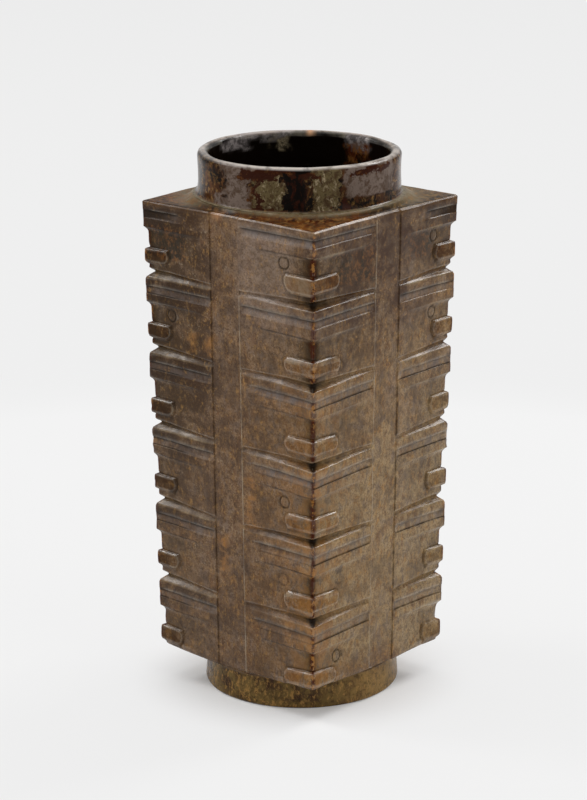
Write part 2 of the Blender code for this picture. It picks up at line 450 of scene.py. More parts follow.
def cut_strips(c):
    """The plain strip, with a scored line or a fine ridge along its edges."""
    gap = np.abs(np.abs(STRIP) - 1) * STRIP_HALF + np.maximum(PANEL_WIDTH - S, 0)
    c.line = line_at(gap, 0.0, STRIP_LINE_WIDTH)
    corner = np.where(STRIP < 0, FACE, (FACE + 1) % 4)
    c.scored = (corner != NEAR) | (c.first & (FACE == LEFT_FACE))
    edge = np.where(c.scored, STRIP_LINE_DEPTH, -STRIP_RIDGE)
    c.depth = mix(c.depth, STRIP_DEPTH, c.in_strip) + edge * c.line


def carve(tier, band):
    """Cuts the body's grid: how deep its bands are, and the values that the masks are made from."""
    c = SimpleNamespace()

    # Tier, height below its top edge and distance from the corner
    c.tier = tier[:, None]
    c.v = band[:, None] + np.zeros(len(S))
    c.s = np.maximum(S, CORNER_ROUND)

    c.first = c.tier == 0
    c.lower = c.tier > 1
    c.last = c.tier == TIERS - 1
    c.lower_near = (CORNER == NEAR) & ~c.first
    c.shift = per_cut(tier, *TIER_SHIFT)
    c.deep = per_cut(tier, *DEPTH_SHARE)
    c.worn = per_panel(tier, *CHANNEL_SHARE)
    longer = NOSE_EXTRA * (PANEL == NEAR_RIGHT) + NOSE_TIER_EXTRA * (PANEL == NEAR_LEFT) * c.tier
    c.reach = (pick(NOSE_REACH, CORNER) + longer) * per_panel(tier, *REACH_SHARE)
    c.eye_left = eye_strength(tier)
    c.in_strip = (SIDE == 0) * ramp((1 - np.abs(STRIP)) * STRIP_HALF, 0.0, 0.4)
    c.on_panel = 1 - c.in_strip
    for cut in (cut_channels, cut_eye_bands, raise_noses, cut_eyes, cut_notches, cut_strips):
        cut(c)
    return c


def rib_masks(c):
    """Painted shade lines and painted highlight lines along the ribs and the channel, a painted sheen in the
    channel, and the tone of the notch's slope.
    """
    v = c.v
    right = FACE == RIGHT_FACE
    near_left = PANEL == NEAR_LEFT
    far_left = PANEL == FAR_LEFT
    left_line = far_left & ~c.first
    under_rib = line_at(v, RIB_END + 0.15, 0.25) * np.where(c.lower & right, 0.5, 1.0)
    scratched = [c.lower & right, c.lower & near_left, left_line]
    above_rib = line_at(v, SECOND_RIB - 0.3, 0.22)
    above_rib = above_rib * np.select(scratched, [1.0, 0.5, ramp(FADE, 0.3, 0.6)], 0.0)
    under_block = line_at(v + c.shift, BLOCK_END + 0.2, 0.32) * ramp(FADE, 0.1, 0.45) * c.on_panel
    dirty = c.first & np.isin(CORNER, (RIGHT, LEFT))
    channel_dirt = dirty * c.inside * ramp(c.s, 17, 7)
    first_rib = ramp(v, 0.2, 0.6) * ramp(v, RIB_END, RIB_END - 0.5) * mix(0.6, 1.0, FADE)
    second_rib = ramp(v, SECOND_RIB - 0.2, SECOND_RIB + 0.2) * ramp(v, BLOCK_END, BLOCK_END - 0.8)
    dark_rib = left_line * (first_rib + second_rib * ramp(FADE, 0.3, 0.7))
    dark_rib = dark_rib + c.short * (first_rib + second_rib) * ramp(FADE, 0.2, 0.6)
    dark_nose = far_left * 0.8 * c.nose * c.kept
    # Painted highlights: light lines along the tier tops, under the block on the right face and on the
    # strip's ridge, and a lit, paler slope on the far-left banks, all in the ridge mask
    top_line = np.select([np.isin(PANEL, (FAR_RIGHT, FAR_LEFT)), near_left], [0.8, 0.4], 0.0)
    top_line = top_line * line_at(v, 0.1, 0.25) * ramp(FADE, 0.02, 0.12) * ~c.first
    lit_bank = far_left * 0.4 * c.cut * (1 - c.slope ** 2)
    light = ~c.scored * c.line + 0.8 * right * under_block
    light = light + np.maximum(top_line, lit_bank) * c.on_panel
    # Painted shade: dark lines under and over the ribs, and under the block on the faces other than the
    # right one; channel_dirt adds a dark stain in the channel near the side corners of the first tier
    dark = (under_rib + above_rib) * c.run * c.on_panel + 0.7 * ~right * under_block
    bank = np.select([far_left, CORNER == LEFT, c.tier > 2], [0.2, 0.9, 0.5], 0.0)
    # Share of the painted sheen on the channel's slope
    grey = np.where(near_left & (c.tier < 4), 1.0, 0.4)
    return {
        "ridge": np.clip(light, 0, 1),
        "rib": np.maximum(dark_rib * c.on_panel, dark_nose),
        "shadow": np.clip(dark + 0.85 * channel_dirt, 0, 1),
        "channel": c.inside * c.run * c.on_panel * grey,
        "bank": c.cut * c.on_panel * bank,
    }


def nose_masks(c):
    """The eye band with its noses and eyes."""
    nose = c.nose * c.kept
    groove = 0.7 * c.outline * c.wall * c.kept + c.eye
    pale = c.first & (PANEL == NEAR_LEFT)
    return {
        "recess": np.clip(c.recess / EYE_BAND_DEPTH, 0, 1) * c.on_panel * c.kept,
        "groove": np.clip(groove + c.scored * c.line, 0, 1),
        "eye": c.eye * c.kept,
        "nose": nose,
        "rusty_nose": nose * np.where(CORNER == NEAR, 1.0, 0.25),
        "pale_nose": nose * 0.8 * pale,
    }


def corner_masks(c):
    """Painted shade in the notches, in their deepest crease and beside the near corner, a stain beside the
    left corner's top tiers, and veins and rust along the corners of the body.
    """
    near = CORNER == NEAR
    # Painted shade in the recess beside the near corner; beside the left corner on the top two tiers it
    # stands for a stain
    beside = [from_corner(4.6), from_corner(2.6)]
    shade = np.select([near & (FACE == LEFT_FACE), near], beside, 0.3 * from_corner(2.0))
    stained = (c.tier < 2) & (CORNER == LEFT)
    shade = np.where(stained, 0.7 * from_corner(5.0), shade) * np.where(c.lower & near, 0.65, 1.0)
    # Painted shade in the notches, darkest near the corners
    notch_shade = pick(NOTCH_SHADE, CORNER) * FADE ** 2 * c.on_panel
    # Painted shade along the notch's deepest crease
    deepest = line_at(c.v, PITCH - 1.4, 1.5)
    everywhere = np.ones_like(c.v)
    return {
        "notch": c.cut * c.slope ** 2 * notch_shade,
        "crease_shade": np.where(near, from_corner(1.8), 0.3 * from_corner(1.5)) * deepest,
        "corner": from_corner(0.8) * everywhere,
        "vein": from_corner(0.95) * everywhere,
        "warm_corner": near * from_corner(10.0) * ramp(c.tier, 0.5, 3.0),
        "near_corner": shade,
    }


def on_faces(z, depth):
    """Places the carved rows on the tapered square: x and y of each grid point."""
    half = half_side(z)
    share = np.clip((BODY_TOP - z) / (BODY_TOP - BODY_BOTTOM), 0, 1)
    shift = mix(pick(STRIP_SHIFT_TOP, FACE), pick(STRIP_SHIFT_BOTTOM, FACE), share)
    first_flat = np.abs(S - CORNER_ROUND) < 1e-6
    corner_depth = depth.copy()
    for q in range(4):
        for which in (-1, 1):
            columns = (FACE == q) & (SIDE == which)
            edge = np.flatnonzero(columns & first_flat)[0]
            corner_depth[:, columns] = depth[:, edge:edge + 1]
    for column in np.flatnonzero((SIDE == -1) & (S == 0)):
        corner_depth[:, column] = (corner_depth[:, column + 1] + corner_depth[:, column - 1]) / 2
    reach = half - corner_depth - CORNER_ROUND
    edge_place = shift + STRIP * STRIP_HALF
    along = np.where(SIDE == 0, edge_place, mix(edge_place, SIDE * reach, FADE))
    out = half - depth
    turn = (1 - np.clip(S / CORNER_ROUND, 0, 1)) * math.pi / 4
    rounded = S < CORNER_ROUND
    along = np.where(rounded, SIDE * (reach + CORNER_ROUND * np.sin(turn)), along)
    out = np.where(rounded, reach + CORNER_ROUND * np.cos(turn), out)
    angle = FACE * math.pi / 2
    x = out * np.cos(angle) - along * np.sin(angle) + BOTTOM_SHIFT[0] * share
    y = out * np.sin(angle) + along * np.cos(angle) + BOTTOM_SHIFT[1] * share
    return x, y


# Round ends

COLLAR_FOOT = BODY_TOP + SHOULDER_RISE + SHOULDER_RING_RISE


def arc(centre, radius, start, end, steps):
    """Points of a profile along an arc, with its angles in degrees from the outward direction."""
    angles = np.radians(np.linspace(start, end, steps + 1))
    return [(centre[0] + radius * math.cos(a), centre[1] + radius * math.sin(a)) for a in angles]


def collar_profile():
    """Radius and height of the rows up the collar, over the lip, down the bore and round the foot."""
    lip = COLLAR_WALL / 2
    mouth = COLLAR_RADIUS - COLLAR_WALL
    edge = COLLAR_RADIUS + COLLAR_FILLET
    rows = arc((edge, COLLAR_FOOT + COLLAR_FILLET), COLLAR_FILLET, 270, 180, 5)
    start = rows[-1][1]
    rows += [(COLLAR_RADIUS - COLLAR_WAIST * math.sin(math.pi * t), mix(start, HEIGHT - lip, t))
             for t in np.linspace(0, 1, 12)[1:-1]]
    rows += arc((COLLAR_RADIUS - lip, HEIGHT - lip), lip, 0, 180, 12)
    middle = HEIGHT / 2
    waist = mouth - DRILL_TAPER
    rows += [(mix(mouth, waist, t), mix(HEIGHT - lip, middle + DRILL_STEP_HALF, t))
             for t in stretches((0.13, 11), (1.0, 9))[1:]]
    rows += [(waist - DRILL_STEP * 0.5, middle), (waist - DRILL_STEP, middle - DRILL_STEP_HALF)]
    low = FOOT_RADIUS - FOOT_WALL
    rows += [(mix(waist - DRILL_STEP, low, t), mix(middle - DRILL_STEP_HALF, FOOT_EDGE, t))
             for t in np.linspace(0, 1, 11)[1:-1]]
    rows += arc((low + FOOT_EDGE, FOOT_EDGE), FOOT_EDGE, 180, 270, 4)
    rows += arc((FOOT_RADIUS - FOOT_EDGE, FOOT_EDGE), FOOT_EDGE, 270, 360, 5)
    waist = FOOT_RADIUS - FOOT_WAIST
    rows += [(mix(FOOT_RADIUS, waist, t), mix(FOOT_EDGE, FOOT_TOP - FOOT_FILLET, t))
             for t in np.linspace(0, 1, 9)[1:]]
    rows += arc((waist + FOOT_FILLET, FOOT_TOP - FOOT_FILLET), FOOT_FILLET, 180, 90, 3)[1:]
    return np.array(rows)


def collar_wobble(x, y, z):
    """Small flats and waves that keep the turned ends from being truly round."""
    angle = np.arctan2(y, x)
    flats = 0.16 * np.cos(7 * angle + 0.6) + 0.1 * np.cos(11 * angle + 2.1) + 0.2 * np.cos(3 * angle + 4.0)
    points = np.stack([x, y, z], axis=-1)
    return flats + 0.2 * noise(points, 9.0, 21)


def shoulder_rows(x, y, z):
    """Rows from the body's top edge over a worn bevel and across the shoulder to the collar."""
    outer = np.hypot(x, y)
    inner = COLLAR_RADIUS + COLLAR_FILLET
    corner = TOP_SIDE / math.sqrt(2)
    width = pick(BEVEL_WIDTH, FACE)
    width = np.convolve(np.concatenate([width[-4:], width, width[:4]]), np.ones(9) / 9, mode="valid")
    facing = np.maximum(np.abs(x), np.abs(y)) / outer
    bevel = width * (1 + 0.3 * noise(np.stack([x, y, z], axis=-1), 14.0, 31))

    shelf = np.maximum(outer - bevel, inner + 0.15)
    flare_width = np.clip(FLARE_SHARE * (shelf - inner), *FLARE_WIDTH)

    def surface(radius):
        cone = SHOULDER_RISE * (corner - radius) / (corner - inner)
        flare = ramp(radius, inner + flare_width, inner - 0.1)
        return BODY_TOP + cone + SHOULDER_RING_RISE * flare

    edge = surface(shelf) - pick(BEVEL_SLOPE, FACE) * bevel * facing
    rows = [(outer, edge - 0.2), (outer, edge)]
    for t in (0.12, 0.4, 0.7, 0.9):
        rows.append((mix(outer, shelf, t), mix(edge, surface(shelf), t)))
    for t in stretches((0.5, 5), (0.85, 5), (1.0, 3))[:-1]:
        radius = mix(shelf, inner, t)
        rows.append((radius, surface(radius)))
    return rows


def underside_rows(x, y, z):
    """Rows from the foot out to the body's bottom edge."""
    outer = np.hypot(x, y)
    inner = FOOT_RADIUS - FOOT_WAIST + FOOT_FILLET
    rows = []
    for t in stretches((0.7, 6), (0.96, 4))[1:]:
        radius = mix(inner, np.maximum(outer, inner + 0.2), t)
        rows.append((radius, mix(FOOT_TOP, z, ramp(t, -0.2, 1.0))))
    return rows


def grid_points():
    """The whole closed grid: points, masks for the material and the number of rows on the body."""
    tier, band = body_rows()
    z = row_heights(tier, band)
    carving = carve(tier, band)
    masks = {**rib_masks(carving), **nose_masks(carving), **corner_masks(carving)}
    x, y = on_faces(z, carving.depth)
    angle = np.arctan2(y[0], x[0])
    bottom_angle = np.arctan2(y[-1], x[-1])
    rows = [(r * np.cos(angle), r * np.sin(angle), h) for r, h in shoulder_rows(x[0], y[0], z[0])]
    shoulder_count = len(rows)
    for radius, height in collar_profile():
        blend = ramp(height, FOOT_TOP, COLLAR_FOOT)
        turn = np.arctan2(mix(np.sin(bottom_angle), np.sin(angle), blend),
                          mix(np.cos(bottom_angle), np.cos(angle), blend))
        px, py = radius * np.cos(turn), radius * np.sin(turn)
        lifted = ramp(height, -0.5, 1.5) * ramp(abs(height - COLLAR_FOOT), 0.0, 3.0)
        swell = 1 + lifted * collar_wobble(px, py, np.full_like(px, height)) / radius
        upper = ramp(height, COLLAR_FOOT - 40, COLLAR_FOOT + 1)
        lower = ramp(height, FOOT_TOP + 30, FOOT_TOP - 2)
        px = px * swell + COLLAR_SHIFT[0] * upper + FOOT_SHIFT[0] * lower
        py = py * swell + COLLAR_SHIFT[1] * upper + FOOT_SHIFT[1] * lower
        rows.append((px, py, np.full_like(px, height)))
    for radius, height in underside_rows(x[-1], y[-1], z[-1]):
        rows.append((radius * np.cos(bottom_angle), radius * np.sin(bottom_angle), height))
    ends = np.array(rows)
    clear = band + PITCH * tier > BEVEL_CLEAR
    body = np.stack([x, y, z], axis=1)[clear][::-1]
    points = np.concatenate([body, ends]).transpose(0, 2, 1)
    full = {}
    for name, mask in masks.items():
        full[name] = np.concatenate([mask[clear][::-1], np.zeros((len(ends), mask.shape[1]))])
    full["shoulder"] = np.zeros(points.shape[:2])
    full["shoulder"][len(body) + BEVEL_ROWS:len(body) + shoulder_count] = 1.0
    return points, full, len(body)


def grid_normals(points):
    along = np.roll(points, -1, axis=0) - np.roll(points, 1, axis=0)
    across = np.roll(points, -1, axis=1) - np.roll(points, 1, axis=1)
    normal = np.cross(across, along)
    return normal / np.maximum(np.linalg.norm(normal, axis=-1, keepdims=True), 1e-9)


def roughen(points, on_body):
    """Wears the grid: slow waves over the faces, fine unevenness, and nicks along the corners."""
    waves = 0.1 * noise(points, 17.0, 41) + 0.045 * noise(points, 5.0, 42) + 0.018 * noise(points, 1.9, 43)
    nicks = np.maximum(noise(points, 2.2, 44) - 0.25, 0) * 0.6 * from_corner(0.9) * on_body
    push = (waves - nicks) * ramp(points[..., 2], 0.0, 1.2)
    return points + grid_normals(points) * push[..., None]


def edge_mask(points):
    """How far each point stands proud of its neighbours, from -1 in hollows to 1 on edges."""
    near = sum(np.roll(points, shift, axis=axis) for axis in (0, 1) for shift in (-2, 2)) / 4
    proud = np.einsum("ijk,ijk->ij", points - near, grid_normals(points))
    return np.clip(proud / 0.12, -1, 1)


# Stains and patches, which the material colours

# Patches, each as angles in degrees from the view, heights, a seed and, where it is sharper, a softness
COLLAR_TALL = (COLLAR_FOOT, HEIGHT + 3)
COLLAR_LOW = (COLLAR_FOOT, COLLAR_FOOT + 4)
COLLAR_PATCHES = {
    "grey_patch": (
        ((-46, -28), COLLAR_TALL, 101),
        ((-54, -29), COLLAR_LOW, 104),
        ((25, 66), (COLLAR_FOOT + 3.5, HEIGHT + 3), 111),
        ((100, 128), COLLAR_TALL, 121),
        ((-140, -112), COLLAR_TALL, 131),
    ),
    "olive_patch": (
        ((-26, -9), (COLLAR_FOOT + 1, HEIGHT - 3), 141),
        ((5, 21), COLLAR_TALL, 151),
        ((150, 176), COLLAR_TALL, 161),
    ),
    "black_patch": (
        ((-9.5, 4), COLLAR_TALL, 171),
        ((-150, -138), COLLAR_TALL, 181),
        ((92, 106), COLLAR_TALL, 191),
    ),
    "red_patch": (
        ((-28, -24), COLLAR_TALL, 201, 1.0),
        ((21, 29), COLLAR_LOW, 211),
        ((-34, -14), (HEIGHT - 4.5, HEIGHT - 1), 214),
        ((-16, 10), (HEIGHT - 2.6, HEIGHT - 1), 216),
        ((26, 62), (HEIGHT - 3, HEIGHT - 1), 217),
    ),
}
BORE_PATCHES = {
    "cream_patch": (((-173, -163), (HEIGHT - 6, HEIGHT - 2.2), 221),),
    "ochre_patch": (((130, 149), (HEIGHT - 10, HEIGHT - 3.5), 231),),
}
BODY_PATCHES = {
    "rust_stain": (
        ((13, 40), (BODY_TOP - 21, BODY_TOP - 8.5), 251),
        ((64, 86), (BODY_TOP - 18, BODY_TOP - 8), 255),
        ((-85, -67), (BODY_TOP - 18, BODY_TOP - 8), 259),
    ),
    "spots": (
        ((-68, -62), (120, 126), 263),
        ((-55, -50), (119, 125), 267),
        ((-48, -42), (44, 58), 271),
        ((-30, -24), (62, 80), 275),
    ),
    "dark_spot": (
        ((-62, -46), (101, 119), 279),
        ((46, 68), (BODY_TOP - 15, BODY_TOP + 2), 283),
    ),
}
# Painted reflections on the bore's inner wall and on the back of the lip
SHEEN_HEIGHTS = (HEIGHT - 4.5, HEIGHT - 0.6)
BORE_SHEENS = (((-146, -118), SHEEN_HEIGHTS, 241), ((129, 147), SHEEN_HEIGHTS, 244))
LIP_SHEEN = ((-178, -146), (HEIGHT - 2.2, HEIGHT + 1), 247)

# Chips: one on the body's top edge, and one on the lip at an angle from the view
EDGE_CHIP = np.array((-4.8, -36.8, BODY_TOP - 0.4))
EDGE_CHIP_SIZE = 1.5
LIP_CHIP_ANGLE = 173.5
LIP_CHIP_SPREAD = 2.2

# Radii between which the bore's and the collar's colours begin
BORE_EDGE = (31.2, 30.4)
COLLAR_EDGE = (30.5, 32.0)


def view_angle(points):
    """Angle of each point round the tube in degrees, 0 towards the camera and rising to its right."""
    turn = np.degrees(np.arctan2(points[..., 1], points[..., 0])) + 90 - VIEW_AZIMUTH
    return (turn + 180) % 360 - 180


def between(x, ends, soft):
    """1 between two ends, with soft edges."""
    return ramp(x, ends[0] - soft, ends[0] + soft) * ramp(x, ends[1] + soft, ends[1] - soft)


def patch(points, angles, heights, seed, soft=2.0):
    """A ragged patch between two angles and two heights."""
    turn = view_angle(points) + 4.0 * noise(points, 4.0, seed) + 2.0 * noise(points, 1.6, seed + 1)
    z = points[..., 2] + 1.5 * noise(points, 3.5, seed + 2) + 0.7 * noise(points, 1.4, seed + 3)
    return between(turn, angles, soft) * between(z, heights, 0.6)


def joined(points, places):
    """Several patches as one mask."""
    return np.clip(sum(patch(points, *place) for place in places), 0, 1)


def part_masks(points, turn):
    """The parts of the surface: collar, lip, bore, shoulder and foot, and what is warmer and painted lighter
    to the right.
    """
    z = points[..., 2]
    upper = ramp(z, COLLAR_FOOT - 40, COLLAR_FOOT + 1)
    radius = np.hypot(points[..., 0] - COLLAR_SHIFT[0] * upper, points[..., 1] - COLLAR_SHIFT[1] * upper)
    side = np.abs(turn)
    front = half_side(BODY_TOP) - np.maximum(points[..., 0], -points[..., 1])
    bore = ramp(radius, *BORE_EDGE) * ramp(z, 1.0, 3.0)
    collar = ramp(z, COLLAR_FOOT, COLLAR_FOOT + 0.6) * ramp(radius, *COLLAR_EDGE)
    foot = ramp(z, FOOT_TOP + 0.6, FOOT_TOP - 1.0) * (1 - bore)
    rise = z - COLLAR_FOOT
    ring = ramp(rise, -0.2, -0.05) * ramp(rise, 0.4, 0.1)
    above = ramp(z, BODY_TOP - 0.3, BODY_TOP) * (1 - bore)
    broad = 0.8 * ramp(side, 50, 75) * ramp(radius, 44, 37)
    flare = np.maximum(ramp(z, BODY_TOP + 0.8, BODY_TOP + 1.7), broad)
    edge = ramp(z, BODY_TOP - 2.0, BODY_TOP - 1.4) * (1 - bore)
    return {
        "collar": collar,
        "bore": bore,
        "foot": foot,
        "ring": ring * (1 - bore),
        "flare": flare * above * (1 - collar),
        # A painted highlight on the lip's crest
        "lip": ramp(z, HEIGHT - 0.85, HEIGHT - 0.3) * mix(1.0, 0.72, ramp(side, 25, 60)),
        # Top edges away from the near corner, duller and darkened by painted shade
        "dull_shaded_edge": edge * (1 - collar) * ramp(side, 36, 56),
        "front_edge": above * (1 - collar) * ramp(front, 6.0, 1.5) * ramp(side, 25, 50),
        # The right of the foot and of the shoulder: partly warmer stone, partly painted light from the right
        "warm": foot * ramp(turn, 12, 45) + above * ramp(turn, 25, 60),
    }


def stain_masks(points, on_body):
    """The parts of the surface with their patches, chips and stains, and painted sheens on the near-left
    panel and in the bore.
    """
    z = points[..., 2]
    turn = view_angle(points)
    left = -turn
    right_face = ramp(turn, -4, 8) * on_body
    far_left = mix(0.25, 1.0, ramp(left, 46, 62) * ramp(z, 40, 125))
    top_right = np.maximum(ramp(turn, 80, 58), ramp(z, 138, 152))
    lip_chip = line_at(turn, LIP_CHIP_ANGLE, LIP_CHIP_SPREAD) * ramp(z, HEIGHT - 1.9, HEIGHT - 1.1)
    edge_chip = line_at(np.linalg.norm(points - EDGE_CHIP, axis=-1), 0.0, EDGE_CHIP_SIZE)
    # Painted reflections in the bore and on the back of the lip
    sheen = joined(points, BORE_SHEENS) + 0.7 * patch(points, *LIP_SHEEN)
    masks = part_masks(points, turn)
    # The right face, most in its lower part, is painted warmer and lighter: partly the stone's tone, partly
    # painted light from the right
    masks["warm"] = np.clip(masks["warm"] + right_face * mix(1.0, 0.2, ramp(z, 60, 150)), 0, 1)
    masks["left_stain"] = far_left * ramp(left, 8, 30) * ramp(left, 130, 110) * on_body
    # Painted sheen on the near-left panel's upper tiers
    masks["panel_sheen"] = ramp(left, 0, 8) * ramp(left, 40, 26) * ramp(z, 118, 150) * on_body
    masks["dark_stain"] = top_right * ramp(z, 112, 145) * right_face
    masks["chip"] = lip_chip + edge_chip
    masks["sheen"] = np.clip(sheen, 0, 1)
    groups = (COLLAR_PATCHES, masks["collar"]), (BORE_PATCHES, masks["bore"]), (BODY_PATCHES, on_body)
    for group, part in groups:
        for name, places in group.items():
            masks[name] = joined(points, places) * part
    return masks


def spacing(points, axis, weight):
    """Places from 0 to 1 along one axis of the closed grid, by the mean distance between its lines."""
    step = np.linalg.norm(np.roll(points, -1, axis=axis) - points, axis=-1) * weight
    place = np.concatenate([[0], np.cumsum(step.mean(axis=1 - axis))])
    return mix(0.004, 0.996, place / place[-1])


def add_uv(mesh, points, bore):
    """Spreads the closed grid over the unit square, with less room for the bore."""
    rows, columns = points.shape[:2]
    u = spacing(points, 1, 1.0)
    v = spacing(points, 0, mix(1.0, 0.35, bore))
    i, j = np.meshgrid(np.arange(rows), np.arange(columns), indexing="ij")
    corners = [(u[j + dj], v[i + di]) for di, dj in ((0, 0), (0, 1), (1, 1), (1, 0))]
    uv = np.stack([np.stack(pair, axis=-1) for pair in corners], axis=2)
    layer = mesh.uv_layers.new(name="OFBake")
    layer.data.foreach_set("uv", uv.astype(np.float32).ravel())


def stone_mesh():
    points, masks, body_count = grid_points()
    on_body = (np.arange(len(points)) < body_count)[:, None]
    points = roughen(points, on_body)
    masks.update(stain_masks(points, on_body))
    turned = np.clip(masks["collar"] - masks["lip"] + masks["foot"], 0, 1)
    masks["edge"] = edge_mask(points) * (1 - turned) * (1 - 0.8 * masks["dull_shaded_edge"])
    rows, columns = points.shape[:2]
    index = np.arange(rows * columns).reshape(rows, columns)
    above = np.roll(index, -1, axis=0)
    quads = np.stack([index, np.roll(index, -1, axis=1), np.roll(above, -1, axis=1), above], axis=-1)
    mesh = bpy.data.meshes.new("carved_stone")
    mesh.from_pydata((points.reshape(-1, 3) * MM).tolist(), [], quads.reshape(-1, 4).tolist())
    for name, mask in masks.items():
        attribute = mesh.attributes.new(name, "FLOAT", "POINT")
        attribute.data.foreach_set("value", mask.astype(np.float32).ravel())
    add_uv(mesh, points, masks["bore"])
    mesh.shade_smooth()
    return mesh


# Material

class Graph:
    """Short ways to add and join the nodes of a material or a world."""

    def __init__(self, owner, shader="Principled BSDF"):
        owner.use_nodes = True
        self.owner = owner
        self.tree = owner.node_tree
        self.shader = self.tree.nodes[shader]

    def node(self, kind, **settings):
        node = self.tree.nodes.new(kind)
        for name, value in settings.items():
            setattr(node, name, value)
        return node

    def fill(self, node, values):
        """Sets or links some of a node's inputs."""
        for name, value in values.items():
            socket = node.inputs[name]
            if isinstance(value, bpy.types.NodeSocket):
                self.tree.links.new(value, socket)
            elif socket.type == "RGBA":
                socket.default_value = (*value, 1.0)
            else:
                socket.default_value = value
        return node.outputs

    def place(self, scale):
        """Object coordinates, stretched by a scale on each axis."""
        coordinates = self.node("ShaderNodeTexCoord").outputs["Object"]
        return self.fill(self.node("ShaderNodeMapping"), {"Vector": coordinates, "Scale": scale})["Vector"]

    def noise(self, place, size, detail, rough, twist=0.0):
        """Noise from 0 to 1 with features of about the given size in millimetres."""
        values = {"Scale": 1 / (size * MM), "Detail": detail, "Roughness": rough, "Distortion": twist}
        return self.fill(self.node("ShaderNodeTexNoise"), {"Vector": place, **values})["Fac"]

    def span(self, value, low, high, to_low=0.0, to_high=1.0):
        """Maps a range to another with soft ends."""
        node = self.node("ShaderNodeMapRange", interpolation_type="SMOOTHSTEP")
        ends = {"From Min": low, "From Max": high, "To Min": to_low, "To Max": to_high}
        return self.fill(node, {"Value": value, **ends})["Result"]

    def ranges(self, value):
        """A function that maps one value as span does, from and to the ranges that it is given."""
        return partial(self.span, value)

    def math(self, kind, first, *others):
        for other in others:
            first = self.fill(self.node("ShaderNodeMath", operation=kind), {0: first, 1: other})[0]
        return first

    def times(self, *values):
        return self.math("MULTIPLY", *values)

    def most(self, *values):
        return self.math("MAXIMUM", *values)

    def mask(self, name, *shares):
        """A mask of the mesh, times any shares."""
        return self.times(self.node("ShaderNodeAttribute", attribute_name=name).outputs["Fac"], *shares)

    def blend(self, under, over, share):
        node = self.node("ShaderNodeMix", data_type="RGBA")
        return self.fill(node, {0: share, 6: under, 7: over})[2]

    def layers(self, colour, *layers):
        """Lays colours over a first one, each with its share."""
        for over, share in layers:
            colour = self.blend(colour, over, share)
        return colour


GREY_BROWN = (0.25, 0.147, 0.075)
OLIVE_BROWN = (0.4, 0.274, 0.134)
DARK_BROWN = (0.05, 0.023, 0.009)
RUST = (0.16, 0.062, 0.016)
OCHRE = (0.42, 0.225, 0.062)
CREAM = (0.45, 0.36, 0.22)
HONEY = (0.34, 0.15, 0.035)
RED_BROWN = (0.06, 0.012, 0.003)
DEEP_RED = (0.032, 0.007, 0.002)
# Near-black for grime and for painted shade in the cuts
DIRT_AND_SHADE = (0.014, 0.008, 0.004)
OLIVE_DARK = (0.075, 0.055, 0.02)
BLACK = (0.004, 0.002, 0.001)
LAVENDER = (0.2, 0.147, 0.117)
LIP_HIGHLIGHT_GREY = (0.55, 0.5, 0.46)
CHIP_PINK = (0.5, 0.24, 0.1)
CHANNEL_SHEEN_GREY = (0.21, 0.178, 0.165)
NOSE_BROWN = (0.27, 0.19, 0.115)
PANEL_SHEEN_GREY = (0.28, 0.2, 0.15)
SHEEN_GREY = (0.36, 0.315, 0.3)
HIGHLIGHT_OLIVE = (0.32, 0.25, 0.15)
DEEP_RUST = (0.05, 0.018, 0.005)
SHADE_BROWN = (0.035, 0.022, 0.012)
COLLAR_GREY = (0.165, 0.122, 0.098)
OLIVE_PATCH = (0.13, 0.095, 0.042)
SHOULDER_BROWN = (0.11, 0.032, 0.006)
SHOULDER_OLIVE = (0.13, 0.085, 0.035)
RING_OLIVE = (0.2, 0.155, 0.085)
FOOT_OLIVE = (0.16, 0.1, 0.03)
FOOT_WARM_LIT = (0.32, 0.19, 0.065)

# Gloss, parts that are rougher than the plain faces or, below 0, smoother, and parts that are duller
STONE_IOR = 1.46
PLAIN_GLOSS = 0.25
DULL_GLOSS = 0.04
LEAST_ROUGH = 0.1
ROUGHER_PARTS = {"shoulder": 0.05, "collar": -0.12, "olive_patch": 0.2, "notch": 0.25}
DULL_PARTS = {
    "bore": 1.0, "shadow": 1.0, "groove": 1.0, "crease_shade": 1.0, "notch": 1.0, "bank": 1.0, "black_patch": 0.9,
    "shoulder": 0.88, "collar": 0.8, "nose": 0.8, "dull_shaded_edge": 0.7, "foot": 0.6,
}


def stone_graph():
    """A material with the stone's noises, from slow clouds to fine grain, and tones that parts share."""
    g = Graph(bpy.data.materials.new("altered_nephrite"))
    place = g.place((1, 1, 1))
    upright = g.place((1, 1, 0.3))
    tall = g.place((1, 1, 0.6))
    fibres = g.noise(upright, 0.75, 4, 0.7)
    mottle = g.noise(place, 2.2, 6, 0.75, 0.3)
    g.relief = g.math("ADD", g.times(fibres, 0.4), g.times(mottle, 0.8))
    g.fibres = g.ranges(fibres)
    g.mottle = g.ranges(mottle)
    g.clouds = g.ranges(g.noise(place, 22, 4, 0.6, 0.6))
    g.blotches = g.ranges(g.noise(place, 8, 6, 0.68, 0.5))
    g.flecks = g.ranges(g.noise(tall, 1.2, 4, 0.7, 0.3))
    g.grain = g.ranges(g.noise(place, 0.6, 3, 0.7))
    g.patches = g.ranges(g.noise(tall, 3.2, 5, 0.72, 0.5))
    g.warm = g.ranges(g.math("ADD", g.mask("warm"), g.clouds(0.38, 0.66, -0.3, 0.4)))
    g.shade = g.ranges(g.mask("recess", g.mask("near_corner")))
    g.stain = g.mask("left_stain", g.blotches(0.36, 0.56, 0.35, 0.9))
    return g


